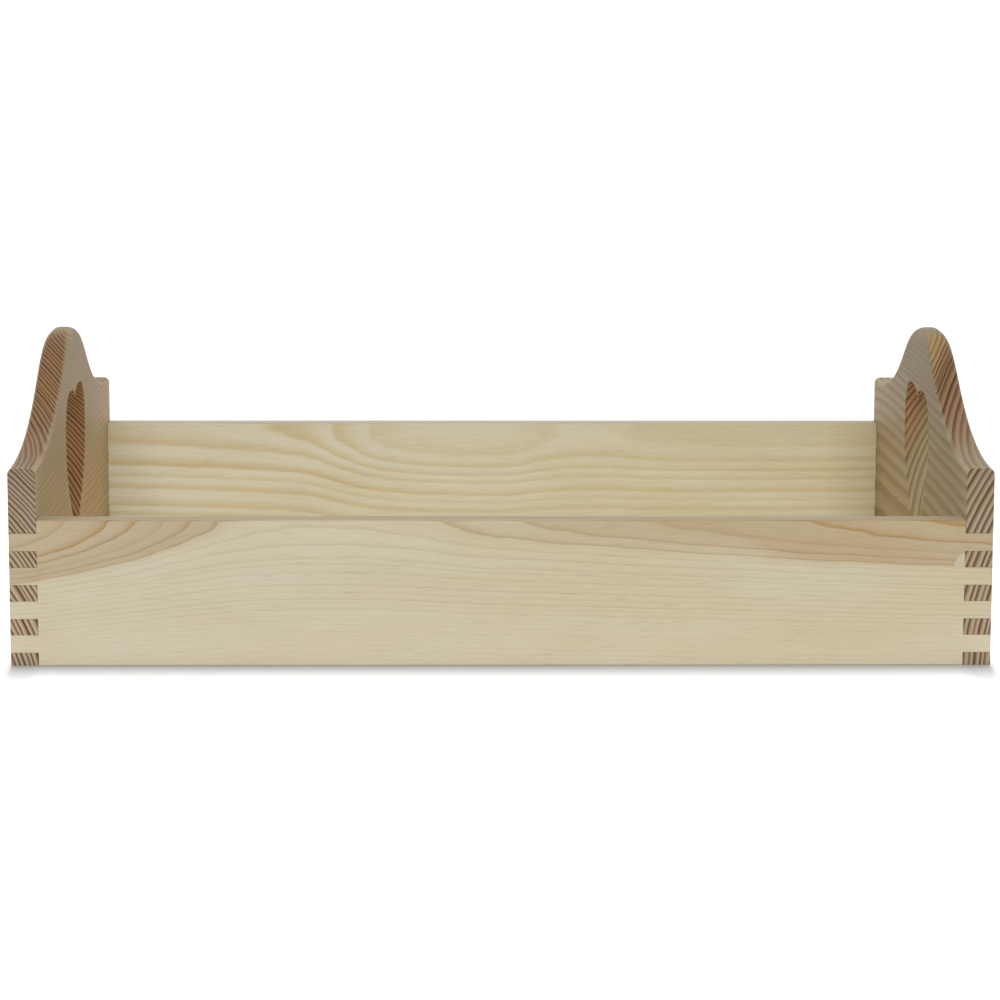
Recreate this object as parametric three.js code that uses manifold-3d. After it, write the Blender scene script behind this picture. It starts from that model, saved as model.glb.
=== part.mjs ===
// A finger-jointed pine serving tray: two long boards, two handle boards with an ogee top and a heart-shaped
// hand hole, and a thin plywood bottom held in grooves. Lengths are millimetres. X runs from handle to handle,
// Y from front to rear and Z up, with the origin on the table under the middle of the tray.

import * as THREE from 'three';
import { mergeVertices } from 'three/addons/utils/BufferGeometryUtils.js';
import Module from 'manifold-3d';

// The tray as a whole
const trayLength = 400;
const trayDepth = 300;
const sideHeight = 60;
const boardThickness = 11.2;
const topEdgeRounding = 0.8;

// The finger joint at each corner. These fingers belong to the long boards.
const fingerCount = 4;
const fingerHeight = 7.2;
const fingerSpacing = 6.8;
const glueGap = 0.1;

// The bottom panel and the groove that holds its four edges
const panelThickness = 4;
const grooveDepth = 5;
const grooveGap = 0.15;

// The ogee top of a handle board: level at the shoulder, hollow at the foot, swelling into the crown
const shoulderHeight = 81.4;
const crownHeight = 122.2;
const crownReach = 46;
const crownFall = 15;
const steepestSlopeShare = 0.57;
const footArmShare = 0.38;
const hollowArmShare = 0.33;
const swellArmShare = 0.37;
const crownArmShare = 0.38;

// Rounding of the top edge: full where the hand closes over it, less on the shoulders and slight on the
// steep flanks
const gripRounding = 5;
const shoulderRounding = 2.6;
const flankRounding = 1.5;

// The heart-shaped hand hole, and the bar of wood left above it for the fingers
const gripBar = 26.9;
const heartWidth = 75;
const heartHeight = 68.3;
const heartEdgeRounding = 1;

// Its right half in shares of half the width and of the height: notch, crest of the lobe, widest point, tip
const notchShares = [0, 0.935];
const crestShares = [0.5, 1];
const widestShares = [1, 0.735];
const tipShares = [0, 0];
const notchArmShares = [0.07, 0.99];
const innerLobeArmShares = [0.25, 1];
const outerLobeArmShares = [0.8, 1];
const shoulderArmShares = [1, 0.9];
const flankArmShares = [1, 0.415];
const tipArmShares = [0.66, 0.295];

// How finely the curves are divided
const ogeeSteps = 18;
const roundingSteps = 5;
const heartSteps = 10;

// How far a cutting shape runs past the wood that it cuts
const overrun = 2;

// Places that follow from the sizes
const halfThickness = boardThickness / 2;
const halfDepth = trayDepth / 2;
const halfLength = trayLength / 2;
const fingerPitch = fingerHeight + fingerSpacing;
const firstFinger = (sideHeight + fingerSpacing - fingerCount * fingerPitch) / 2;
const fingerFeet = Array.from({ length: fingerCount }, (_, i) => firstFinger + i * fingerPitch);

// The panel lies at the middle of the lowest finger, so that no groove shows at a handle board's end
const panelUnderside = firstFinger + (fingerHeight - panelThickness) / 2;
const panelTop = panelUnderside + panelThickness;

const wasm = await Module();
wasm.setup();

// Outlines are drawn across a board and carried along +Z, then turned to where that board lies
const alongX = new THREE.Matrix4().makeBasis(
  new THREE.Vector3(0, 1, 0),
  new THREE.Vector3(0, 0, 1),
  new THREE.Vector3(1, 0, 0),
);
const alongY = new THREE.Matrix4().makeBasis(
  new THREE.Vector3(1, 0, 0),
  new THREE.Vector3(0, 0, 1),
  new THREE.Vector3(0, -1, 0),
);

function toSolid(geometry) {
  const bare = geometry.clone();
  bare.deleteAttribute('normal');
  bare.deleteAttribute('uv');
  const merged = mergeVertices(bare);
  return new wasm.Manifold(new wasm.Mesh({
    numProp: 3,
    vertProperties: new Float32Array(merged.attributes.position.array),
    triVerts: new Uint32Array(merged.index.array),
  }));
}

function toGeometry(solid) {
  const { vertProperties, triVerts, numProp } = solid.getMesh();
  const geometry = new THREE.BufferGeometry();
  geometry.setAttribute('position', new THREE.BufferAttribute(new Float32Array(vertProperties), numProp));
  geometry.setIndex(new THREE.BufferAttribute(new Uint32Array(triVerts), 1));
  geometry.computeVertexNormals();
  return geometry;
}

// A square-edged block from its lowest corner to its highest
function block(low, high) {
  const box = new THREE.Box3(new THREE.Vector3(...low), new THREE.Vector3(...high));
  const size = box.getSize(new THREE.Vector3());
  const middle = box.getCenter(new THREE.Vector3());
  return toSolid(new THREE.BoxGeometry(...size).translate(...middle));
}

// A closed solid through a stack of outlines, each a ring of as many points, at rising stations
function loft(rings) {
  const count = rings[0].outline.length;
  const positions = rings.flatMap(({ outline, station }) => outline.flatMap(({ x, y }) => [x, y, station]));
  const index = [];
  for (let ring = 0; ring < rings.length - 1; ring += 1) {
    for (let i = 0; i < count; i += 1) {
      const here = ring * count + i;
      const next = ring * count + (i + 1) % count;
      index.push(here, next, next + count);
      index.push(here, next + count, here + count);
    }
  }
  const lastRing = (rings.length - 1) * count;
  for (const [a, b, c] of THREE.ShapeUtils.triangulateShape(rings[0].outline, [])) {
    index.push(c, b, a);
  }
  for (const [a, b, c] of THREE.ShapeUtils.triangulateShape(rings.at(-1).outline, [])) {
    index.push(lastRing + a, lastRing + b, lastRing + c);
  }
  const geometry = new THREE.BufferGeometry();
  geometry.setAttribute('position', new THREE.Float32BufferAttribute(positions, 3));
  geometry.setIndex(index);
  return geometry;
}

// One side of the ogee, from the middle of the crown out to the end of the board: x is the distance from
// the middle and y the height
function ogeeCurve() {
  const turn = new THREE.Vector2(crownReach, crownHeight - crownFall);
  const crownArm = crownReach * crownArmShare;
  const swellArm = crownReach * swellArmShare;
  const footRun = halfDepth - crownReach;
  const hollowArm = footRun * hollowArmShare;
  const footArm = footRun * footArmShare;
  const curve = new THREE.CurvePath();
  curve.add(new THREE.CubicBezierCurve(
    new THREE.Vector2(0, crownHeight),
    new THREE.Vector2(crownArm, crownHeight),
    new THREE.Vector2(turn.x - swellArm, turn.y + swellArm * steepestSlopeShare),
    turn,
  ));
  curve.add(new THREE.CubicBezierCurve(
    turn,
    new THREE.Vector2(turn.x + hollowArm, turn.y - hollowArm * steepestSlopeShare),
    new THREE.Vector2(halfDepth - footArm, shoulderHeight),
    new THREE.Vector2(halfDepth, shoulderHeight),
  ));
  return curve;
}

// Stations along one side of the ogee, each with its distance, its height and its slope
function ogeeStations() {
  return ogeeCurve().curves.flatMap((piece, which) => {
    const first = which === 0 ? 0 : 1;
    return Array.from({ length: ogeeSteps + 1 - first }, (_, i) => {
      const share = (i + first) / ogeeSteps;
      const point = piece.getPoint(share);
      const tangent = piece.getTangent(share);
      return { distance: point.x, height: point.y, slope: Math.abs(tangent.y / tangent.x) };
    });
  });
}

// The cross-section of a handle board at one station: square below, rounded over at both top edges
function handleSection({ distance, height, slope }) {
  const steepness = Math.min(slope / steepestSlopeShare, 1);
  const levelRounding = distance < crownReach ? gripRounding : shoulderRounding;
  const across = THREE.MathUtils.lerp(levelRounding, flankRounding, steepness);
  const down = across * Math.hypot(1, slope);
  const outline = [new THREE.Vector2(halfThickness, 0)];
  for (const side of [1, -1]) {
    for (let i = 0; i <= roundingSteps; i += 1) {
      const quarter = (side > 0 ? i : roundingSteps - i) / roundingSteps;
      const angle = quarter * Math.PI / 2;
      outline.push(new THREE.Vector2(
        side * (halfThickness - across + across * Math.cos(angle)),
        height - down + down * Math.sin(angle),
      ));
    }
  }
  outline.push(new THREE.Vector2(-halfThickness, 0));
  return outline;
}

// The heart, counter-clockwise, grown evenly about its middle to the given width
function heartOutline(width) {
  const growth = width / heartWidth;
  const middleHeight = heartHeight / 2;
  const place = ([across, up]) => new THREE.Vector2(
    growth * across * heartWidth / 2,
    growth * (up * heartHeight - middleHeight),
  );
  const curves = [
    [tipShares, tipArmShares, flankArmShares, widestShares],
    [widestShares, shoulderArmShares, outerLobeArmShares, crestShares],
    [crestShares, innerLobeArmShares, notchArmShares, notchShares],
  ].map((points) => new THREE.CubicBezierCurve(...points.map(place)));
  const right = curves.flatMap((curve) => curve.getPoints(heartSteps).slice(0, -1));
  const left = right.slice(1).reverse().map(({ x, y }) => new THREE.Vector2(-x, y));
  return [...right, place(notchShares), ...left];
}

// The shape that cuts the hand hole, widened by a quarter round at both faces of the board
function heartCutter() {
  const rings = [];
  for (const side of [-1, 1]) {
    const steps = Array.from({ length: roundingSteps + 1 }, (_, i) => {
      const angle = (side > 0 ? i : roundingSteps - i) / roundingSteps * Math.PI / 2;
      const inward = heartEdgeRounding * (1 - Math.sin(angle));
      const widened = heartEdgeRounding * (1 - Math.cos(angle));
      return { station: side * (halfThickness - inward), outline: heartOutline(heartWidth + 2 * widened) };
    });
    rings.push(...steps);
  }
  const mouth = heartOutline(heartWidth + 2 * heartEdgeRounding);
  rings.unshift({ station: -halfThickness - overrun, outline: mouth });
  rings.push({ station: halfThickness + overrun, outline: mouth });
  const heartMiddle = crownHeight - gripBar - heartHeight / 2;
  return toSolid(loft(rings).applyMatrix4(alongX).translate(0, 0, heartMiddle));
}

// A handle board, lying along Y about the middle of its own thickness. Inward is -1 or 1, the side in X
// that faces the inside of the tray.
function handleBoard(inward) {
  const stations = ogeeStations();
  const sections = stations.map((station) => ({ station: station.distance, outline: handleSection(station) }));
  const mirrored = sections.slice(1).reverse().map(({ station, outline }) => ({ station: -station, outline }));
  let board = toSolid(loft([...mirrored, ...sections]).applyMatrix4(alongY));
  board = board.subtract(heartCutter());

  // Sockets for the long boards' fingers, open at both ends of the board
  const shoulderLine = halfDepth - boardThickness - glueGap;
  for (const foot of fingerFeet) {
    for (const end of [-1, 1]) {
      const reach = [end * shoulderLine, end * (halfDepth + overrun)].sort((a, b) => a - b);
      board = board.subtract(block(
        [-halfThickness - overrun, reach[0], foot - glueGap],
        [halfThickness + overrun, reach[1], foot + fingerHeight + glueGap],
      ));
    }
  }

  // The groove runs out at both ends into the lowest sockets, where the joint hides it
  const bed = inward * (halfThickness - grooveDepth);
  const mouth = inward * (halfThickness + overrun);
  return board.subtract(block(
    [Math.min(bed, mouth), -halfDepth - overrun, panelUnderside - grooveGap],
    [Math.max(bed, mouth), halfDepth + overrun, panelTop + grooveGap],
  ));
}

// The profile of a long board, with both top edges eased
function longBoardProfile() {
  const rounding = topEdgeRounding;
  const shape = new THREE.Shape();
  shape.moveTo(-halfThickness, 0);
  shape.lineTo(halfThickness, 0);
  shape.lineTo(halfThickness, sideHeight - rounding);
  shape.absarc(halfThickness - rounding, sideHeight - rounding, rounding, 0, Math.PI / 2);
  shape.lineTo(rounding - halfThickness, sideHeight);
  shape.absarc(rounding - halfThickness, sideHeight - rounding, rounding, Math.PI / 2, Math.PI);
  return shape;
}

// A long board, lying along X about the middle of its own thickness. Inward is the side in Y that faces
// the inside of the tray.
function longBoard(inward) {
  const blank = new THREE.ExtrudeGeometry(longBoardProfile(), {
    depth: trayLength,
    bevelEnabled: false,
    curveSegments: roundingSteps,
  });
  let board = toSolid(blank.translate(0, 0, -halfLength).applyMatrix4(alongX));

  // What is cut away between the fingers, below the first and above the last, for the handle boards
  const shoulderLine = halfLength - boardThickness - glueGap;
  const gaps = [-1, ...fingerFeet.keys()].map((i) => ({
    low: i < 0 ? -overrun : fingerFeet[i] + fingerHeight,
    high: i < fingerCount - 1 ? fingerFeet[i + 1] : sideHeight + overrun,
  }));
  for (const { low, high } of gaps) {
    for (const end of [-1, 1]) {
      const reach = [end * shoulderLine, end * (halfLength + overrun)].sort((a, b) => a - b);
      board = board.subtract(block(
        [reach[0], -halfThickness - overrun, low],
        [reach[1], halfThickness + overrun, high],
      ));
    }
  }

  // The groove stops inside the lowest finger, so that it doesn't show at the tray's ends
  const grooveHalf = halfLength - boardThickness + grooveDepth;
  const bed = inward * (halfThickness - grooveDepth);
  const mouth = inward * (halfThickness + overrun);
  return board.subtract(block(
    [-grooveHalf, Math.min(bed, mouth), panelUnderside - grooveGap],
    [grooveHalf, Math.max(bed, mouth), panelTop + grooveGap],
  ));
}

// The plywood bottom, short of the beds of its grooves by the groove's gap on every side
function bottomPanel() {
  const intoGroove = grooveDepth - grooveGap;
  const reachX = halfLength - boardThickness + intoGroove;
  const reachY = halfDepth - boardThickness + intoGroove;
  return block([-reachX, -reachY, 0], [reachX, reachY, panelThickness]);
}

const palePine = new THREE.MeshStandardMaterial({ color: '#e2d3ae', roughness: 0.6, metalness: 0 });
const yellowPine = new THREE.MeshStandardMaterial({ color: '#dccb98', roughness: 0.6, metalness: 0 });
const darkPine = new THREE.MeshStandardMaterial({ color: '#b59a78', roughness: 0.65, metalness: 0 });
const plywood = new THREE.MeshStandardMaterial({ color: '#d9c39a', roughness: 0.7, metalness: 0 });

const group = new THREE.Group();

function addPiece(name, solid, material, place) {
  const mesh = new THREE.Mesh(toGeometry(solid), material.clone());
  mesh.name = name;
  mesh.position.set(...place);
  group.add(mesh);
}

const handlePlace = halfLength - halfThickness;
const longPlace = halfDepth - halfThickness;
addPiece('front_board', longBoard(1), palePine, [0, -longPlace, 0]);
addPiece('rear_board', longBoard(-1), yellowPine, [0, longPlace, 0]);
addPiece('left_handle_board', handleBoard(1), darkPine, [-handlePlace, 0, 0]);
addPiece('right_handle_board', handleBoard(-1), darkPine, [handlePlace, 0, 0]);
addPiece('bottom_panel', bottomPanel(), plywood, [0, 0, panelUnderside]);

export default group;
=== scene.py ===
# %% [markdown]
# # A finger-jointed pine serving tray
#
# The tray is four solid pine boards, glued at the corners with finger joints, round a thin plywood
# bottom. The two handle boards have an ogee top and a heart-shaped hand hole. Nothing on it moves, so
# everything rides on one body.
#
# The frame comes first: it holds every piece at its real size. The lesson then makes the shapes that the
# eye needs finer, and the wood that covers them.

# %% Load the frame
import math

import bmesh
import bpy
import numpy as np
from mathutils import Matrix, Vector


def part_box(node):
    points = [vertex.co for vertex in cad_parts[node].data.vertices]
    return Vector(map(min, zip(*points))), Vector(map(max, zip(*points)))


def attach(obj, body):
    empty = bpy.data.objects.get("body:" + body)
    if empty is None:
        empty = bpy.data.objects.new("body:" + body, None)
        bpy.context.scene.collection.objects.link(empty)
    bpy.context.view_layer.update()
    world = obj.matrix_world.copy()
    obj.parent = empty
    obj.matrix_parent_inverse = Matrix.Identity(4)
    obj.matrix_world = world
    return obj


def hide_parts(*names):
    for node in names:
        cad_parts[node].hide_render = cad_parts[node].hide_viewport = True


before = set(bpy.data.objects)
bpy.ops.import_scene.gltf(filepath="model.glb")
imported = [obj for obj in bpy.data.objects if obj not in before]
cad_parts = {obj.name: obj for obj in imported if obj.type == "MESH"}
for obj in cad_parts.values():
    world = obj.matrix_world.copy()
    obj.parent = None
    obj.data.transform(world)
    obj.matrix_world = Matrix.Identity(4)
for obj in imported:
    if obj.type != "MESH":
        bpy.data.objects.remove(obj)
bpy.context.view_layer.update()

print("nodes of the frame:", sorted(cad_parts))

# %% [markdown]
# ## Sizes
#
# Blender works in metres, and a joiner in millimetres, so one value turns one into the other. The boards'
# outer sizes are read from the frame. What its boxes can't tell, such as the fingers, the curve of the
# top and the heart, is named here once.

# %% Sizes of the boards
mm = 0.001


def box_of(node):
    """The lowest and the highest corner of a node of the frame, as two rows of three numbers."""
    low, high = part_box(node)
    return np.array(low), np.array(high)


front_low, front_high = box_of("front_board")
half_length = front_high[0]
half_depth = -front_low[1]
side_height = front_high[2]
crown_height = box_of("left_handle_board")[1][2]
board_thickness = front_high[1] - front_low[1]
half_thickness = board_thickness / 2
print(f"tray {2 * half_length / mm:.0f} x {2 * half_depth / mm:.0f} x {crown_height / mm:.1f} mm,"
      f" boards {board_thickness / mm:.1f} mm thick")

# %% Sizes of the joints, the top edge and the heart
finger_count = 4
finger_height = 7.2 * mm
finger_spacing = 6.8 * mm
glue_gap = 0.1 * mm
panel_thickness = 4 * mm
groove_depth = 5 * mm
groove_gap = 0.15 * mm
top_edge_rounding = 0.8 * mm

shoulder_height = 81.4 * mm
crown_reach = 46 * mm
crown_fall = 15 * mm
steepest_slope_share = 0.57
foot_arm_share = 0.38
hollow_arm_share = 0.33
swell_arm_share = 0.37
crown_arm_share = 0.38
grip_rounding = 5 * mm
shoulder_rounding = 2.6 * mm
flank_rounding = 1.5 * mm

grip_bar = 26.9 * mm
heart_width = 75 * mm
heart_height = 68.3 * mm
heart_edge_rounding = 1 * mm
corner_easing = 0.45 * mm

# How finely the curves are divided
ogee_steps = 40
rounding_steps = 7
heart_steps = 22
easing_steps = 3

# Places that follow
finger_pitch = finger_height + finger_spacing
first_finger = (side_height + finger_spacing - finger_count * finger_pitch) / 2
finger_feet = first_finger + finger_pitch * np.arange(finger_count)
groove_low = first_finger + (finger_height - panel_thickness) / 2 - groove_gap
groove_high = groove_low + panel_thickness + 2 * groove_gap
print("fingers start at", np.round(finger_feet / mm, 1), "mm")

# %% [markdown]
# ## The camera
#
# The tray was seen from a metre and a half away with a long lens, a little from above and almost straight
# on. The camera's place and turn were worked out from the tray's own corners, so the picture's
# perspective is the real one.

# %% Camera
camera_place = np.array([-21.45, -1489.28, 284.31]) * mm
camera_yaw = 0.0154
camera_pitch = 0.1598
camera_roll = -0.0023
frame_pixels = 1000
focal_pixels = 3346.58
sensor_width = 36


def camera_axes(yaw, pitch, roll):
    """Three rows, the camera's right, down and forward. Forward is turned by yaw about the vertical and
    dipped by pitch, right is level and square to it, down is square to both, and roll turns right and
    down about forward."""
    forward = np.array([math.sin(yaw) * math.cos(pitch), math.cos(yaw) * math.cos(pitch), -math.sin(pitch)])
    level = np.array([math.cos(yaw), -math.sin(yaw), 0])
    sheer = np.cross(forward, level)
    right = math.cos(roll) * level + math.sin(roll) * sheer
    down = math.cos(roll) * sheer - math.sin(roll) * level
    return right, down, forward


def turned_to(right, up, back, place):
    """The matrix that turns an object's own X, Y and Z to three directions and moves it to a place."""
    turn = np.eye(4)
    turn[:3] = np.column_stack([right, up, back, place])
    return Matrix(turn.tolist())


right, down, forward = camera_axes(camera_yaw, camera_pitch, camera_roll)
camera_data = bpy.data.cameras.new("tray_camera")
camera_data.sensor_width = sensor_width
camera_data.lens = sensor_width * focal_pixels / frame_pixels
camera_data.clip_end = 100
camera = bpy.data.objects.new("tray_camera", camera_data)
camera.matrix_world = turned_to(right, -down, -forward, camera_place)
bpy.context.scene.collection.objects.link(camera)
bpy.context.scene.camera = camera
print(f"lens {camera_data.lens:.1f} mm, {np.linalg.norm(camera_place):.2f} m away")

# %% [markdown]
# ## Boards as surfaces
#
# A sawn board is easy to fake with a box, but its edges tell how it was worked: the long boards' top
# edges are only broken with sandpaper, while the handles are rounded over with a router until they fit
# the hand. So each board is put together from patches. Curved ones are grids of points worked out by a
# formula, flat ones are single faces, and where two patches meet their points are the same, so that
# welding closes the board.
#
# A patch is a pair: its points, and its faces as lists of point numbers. A point's three numbers are its
# depth through the board, its place along the board and its height. Depth grows towards the inside of the
# tray.


# %% Patches
def grid_patch(points, closed=False):
    """Four-sided faces between the neighbours of a grid of points. In a closed grid the last row joins
    the first."""
    rows, columns = points.shape[:2]
    index = np.arange(rows * columns).reshape(rows, columns)
    if closed:
        index = np.vstack([index, index[:1]])
    faces = np.stack([index[:-1, :-1], index[:-1, 1:], index[1:, 1:], index[1:, :-1]], axis=-1)
    return points.reshape(-1, 3), faces.reshape(-1, 4).tolist()


def face_patch(points):
    """One face through its corners, rows of (depth, along, height)."""
    return np.asarray(points), [list(range(len(points)))]


def flat_patch(depth, outline):
    """One face through an outline of (along, height) rows at one depth, or at a depth for each row."""
    return face_patch(np.column_stack([np.broadcast_to(depth, len(outline)), outline]))


def end_cap(section, level):
    """The sawn end between the top's section there and the level where the comb ends."""
    foot = [(depth, section[0, 1], level) for depth in (-half_thickness, half_thickness)]
    return face_patch(np.vstack([foot, section]))


def across_patch(path):
    """The two faces' outline, a path of (along, height) rows, carried straight through the board."""
    points = np.stack([np.column_stack([np.full(len(path), depth), path])
                       for depth in (-half_thickness, half_thickness)], axis=1)
    return grid_patch(points)


def mirrored(path):
    """A path of (along, height) rows, reflected to the other end of the board and walked backwards."""
    return (np.asarray(path) * (-1, 1))[::-1]


# %% [markdown]
# The rounded top is one surface of two parameters: the station along the board, and the angle round the
# edge. At each station both corners of the section are quarters of an ellipse. On a slope the ellipse is
# drawn out downwards, so that, measured square to the slope, it is round again.


# %% The rounded top edge
def rounded_top(along, height, across):
    """Each station's section, from the inner face over the top to the outer one. With a the angle round
    the corner, depth is the half thickness less across * (1 - cos a), and height is the top less across *
    stretch * (1 - sin a), where stretch is the length of the slope over its level run."""
    stretch = np.hypot(1, np.gradient(height, along))
    angle = np.linspace(0, math.pi / 2, rounding_steps + 1)
    inset = across[:, None] * (1 - np.cos(angle))
    sunk = (across * stretch)[:, None] * (1 - np.sin(angle))
    depth = np.hstack([half_thickness - inset, inset[:, ::-1] - half_thickness])
    level = height[:, None] - np.hstack([sunk, sunk[:, ::-1]])
    return np.stack([depth, np.broadcast_to(along[:, None], depth.shape), level], axis=-1)


def bezier(points, steps):
    """A cubic curve as rows of points. At a share of the way, with the rest of 1 less the share, each
    control point is weighed by its term of (rest + share) cubed."""
    share = np.linspace(0, 1, steps + 1)[:, None]
    rest = 1 - share
    first, second, third, last = np.array(points, float)
    early = rest ** 3 * first + 3 * rest ** 2 * share * second
    return early + 3 * rest * share ** 2 * third + share ** 3 * last


def ogee():
    """The top of a handle board from front to rear, as (along, height) rows. Each half is two cubic
    curves: the crown swells down to the steepest point, and the hollow runs out level at the shoulder."""
    turning_height = crown_height - crown_fall
    swell_arm = crown_reach * swell_arm_share
    foot_run = half_depth - crown_reach
    hollow_arm = foot_run * hollow_arm_share
    crown = bezier([
        (0, crown_height),
        (crown_reach * crown_arm_share, crown_height),
        (crown_reach - swell_arm, turning_height + swell_arm * steepest_slope_share),
        (crown_reach, turning_height),
    ], ogee_steps)
    hollow = bezier([
        (crown_reach, turning_height),
        (crown_reach + hollow_arm, turning_height - hollow_arm * steepest_slope_share),
        (half_depth - foot_run * foot_arm_share, shoulder_height),
        (half_depth, shoulder_height),
    ], ogee_steps)
    half = np.vstack([crown, hollow[1:]])
    return np.vstack([mirrored(half)[:-1], half])


def ogee_rounding(along, height):
    """How far the edge is rounded at each station: full on the level crown and shoulders, and the steeper
    the flank, the less."""
    steepness = np.clip(abs(np.gradient(height, along)) / steepest_slope_share, 0, 1)
    level = np.where(abs(along) < crown_reach, grip_rounding, shoulder_rounding)
    return level + (flank_rounding - level) * steepness


along, height = ogee().T
ogee_top = rounded_top(along, height, ogee_rounding(along, height))
print("handle top:", ogee_top.shape[0], "stations of", ogee_top.shape[1], "points")

# %% [markdown]
# The heart is drawn as one half and mirrored. Its control points are shares of half the width and of the
# height, so that the same heart can be any size. Its wall is again a surface of two parameters: the place
# round the outline, and the depth through the board. Close to both faces the outline grows by a quarter
# circle, as a round-over bit leaves it.

# %% The heart
heart_half_shares = [
    [(0, 0), (0.66, 0.295), (1, 0.415), (1, 0.735)],
    [(1, 0.735), (1, 0.9), (0.8, 1), (0.5, 1)],
    [(0.5, 1), (0.25, 1), (0.07, 0.99), (0, 0.935)],
]
heart_middle = crown_height - grip_bar - heart_height / 2


def heart_outline(growth):
    """The heart's (along, height) rows from the tip up its far half to the notch and down the near half,
    grown about its middle."""
    curves = [bezier(shares, heart_steps)[:-1] for shares in heart_half_shares]
    half = np.vstack(curves + [[heart_half_shares[-1][-1]]]) - (0, 0.5)
    whole = np.vstack([half, mirrored(half)[1:-1]])
    return whole * growth * (heart_width / 2, heart_height) + (0, heart_middle)


def heart_wall():
    """The wall of the hand hole. With a the angle round the mouth's edge, the depth is the half thickness
    less rounding * (1 - sin a), and the outline's width has grown by twice rounding * (1 - cos a)."""
    angle = np.linspace(0, math.pi / 2, rounding_steps + 1)
    depth = half_thickness - heart_edge_rounding * (1 - np.sin(angle))
    growth = 1 + 2 * heart_edge_rounding * (1 - np.cos(angle)) / heart_width
    depths = np.concatenate([-depth[::-1], depth])
    growths = np.concatenate([growth[::-1], growth])
    rings = [np.column_stack([np.full(len(outline), through), outline])
             for through, outline in zip(depths, map(heart_outline, growths))]
    return np.stack(rings, axis=1)


heart_surface = heart_wall()
print("heart:", heart_surface.shape[0], "points round,", heart_surface.shape[1], "through the board")

# %% [markdown]
# The joint is a comb. The long boards carry the fingers, and the handle boards the sockets, which are
# wider by the glue line on each side. Each comb is a path up one end of a board, and the other end is its
# mirror image.

# %% Combs
long_shoulder = half_length - board_thickness - glue_gap
handle_shoulder = half_depth - board_thickness - glue_gap


def comb(outer, inner, gap, starts_out):
    """Up one end of a board, in (along, height) rows. A finger's place is where the comb stands out on a
    long board and in on a handle board, and gap widens it."""
    here, there = (outer, inner) if starts_out else (inner, outer)
    steps = [[(here, foot - gap), (there, foot - gap), (there, foot + finger_height + gap),
              (here, foot + finger_height + gap)] for foot in finger_feet]
    return np.vstack([[(here, 0)]] + steps)


finger_comb = comb(half_length, long_shoulder, 0, starts_out=False)
socket_comb = comb(half_depth, handle_shoulder, glue_gap, starts_out=True)
print("finger comb", len(finger_comb), "points, socket comb", len(socket_comb))

# %% [markdown]
# A face with a hole can't be one polygon, so a handle board's faces are halved along its middle. The
# groove for the bottom runs out into the lowest sockets, which gives their end walls a notch. On a long
# board it stops inside the lowest finger.


# %% Patches of a handle board
def handle_patches():
    """All surfaces of a handle board: top, end caps, combs, underside, both faces, groove and heart."""
    half = half_thickness
    bed = half - groove_depth
    wall = handle_shoulder
    middle = len(ogee_top) // 2
    half_heart = len(heart_surface) // 2
    patches = [grid_patch(ogee_top), grid_patch(heart_surface, closed=True)]
    foot_path = np.vstack([mirrored(socket_comb[:3]), [(0, 0)], socket_comb[:3]])
    patches.append(across_patch(foot_path))
    for end in (1, -1):
        half_top = ogee_top[middle::end]
        comb_above = socket_comb[3:] * (end, 1)
        patches += [across_patch(comb_above), end_cap(half_top[-1], socket_comb[-1][1])]
        low, high = socket_comb[2][1], socket_comb[3][1]
        notch = [(-half, low), (half, low), (half, groove_low), (bed, groove_low),
                 (bed, groove_high), (half, groove_high), (half, high), (-half, high)]
        patches.append(face_patch([(depth, end * wall, level) for depth, level in notch]))
        mouth = heart_surface[half_heart::-1, 0, 1:] * (end, 1)
        inner_foot = [(0, groove_high), (end * wall, groove_high)]
        outer_foot = [(0, 0), *(socket_comb[:3] * (end, 1))]
        for depth, column, foot in ((half, 0, inner_foot), (-half, -1, outer_foot)):
            rim = half_top[::-1, column, 1:]
            patches.append(flat_patch(depth, [*foot, *comb_above, *rim, *mouth]))
    groove_bed = [(-wall, groove_low), (wall, groove_low), (wall, groove_high), (-wall, groove_high)]
    groove_floor = [(along, groove_low) for along in (-wall, -wall, wall, wall)]
    groove_roof = [(along, groove_high) for along in (-wall, -wall, 0, wall, wall)]
    return patches + [
        flat_patch(half, [*foot_path, (wall, groove_low), (-wall, groove_low)]),
        flat_patch(bed, groove_bed),
        flat_patch([bed, half, half, bed], groove_floor),
        flat_patch([bed, half, half, half, bed], groove_roof),
    ]


print(len(handle_patches()), "patches close a handle board")


# %% Patches of a long board
def long_patches():
    """All surfaces of a long board: eased top, end caps, combs, underside, both faces and the stopped
    groove."""
    half = half_thickness
    bed = half - groove_depth
    stop = half_length - board_thickness + groove_depth
    stations = np.array([-long_shoulder, 0, long_shoulder])
    top = rounded_top(stations, np.full(3, side_height), np.full(3, top_edge_rounding))
    path = np.vstack([mirrored(finger_comb), [(0, 0)], finger_comb])
    patches = [grid_patch(top), across_patch(path)]
    for end in (1, -1):
        half_top = top[1::end]
        patches.append(end_cap(half_top[-1], finger_comb[-1][1]))
        pocket = [(0, groove_high), (end * stop, groove_high), (end * stop, groove_low), (0, groove_low)]
        rim = half_top[::-1, 0, 1:]
        patches.append(flat_patch(half, [(0, 0), *(finger_comb * (end, 1)), *rim, *pocket]))
        pocket_end = [(end * stop, level) for level in (groove_low, groove_low, groove_high, groove_high)]
        patches.append(flat_patch([bed, half, half, bed], pocket_end))
    patches.append(flat_patch(-half, [*path, *top[::-1, -1, 1:]]))
    groove_bed = [(-stop, groove_low), (stop, groove_low), (stop, groove_high), (-stop, groove_high)]
    patches.append(flat_patch(bed, groove_bed))
    for level in (groove_low, groove_high):
        edge = [(along, level) for along in (-stop, -stop, 0, stop, stop)]
        patches.append(flat_patch([bed, half, half, half, bed], edge))
    return patches


print(len(long_patches()), "patches close a long board")


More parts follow.
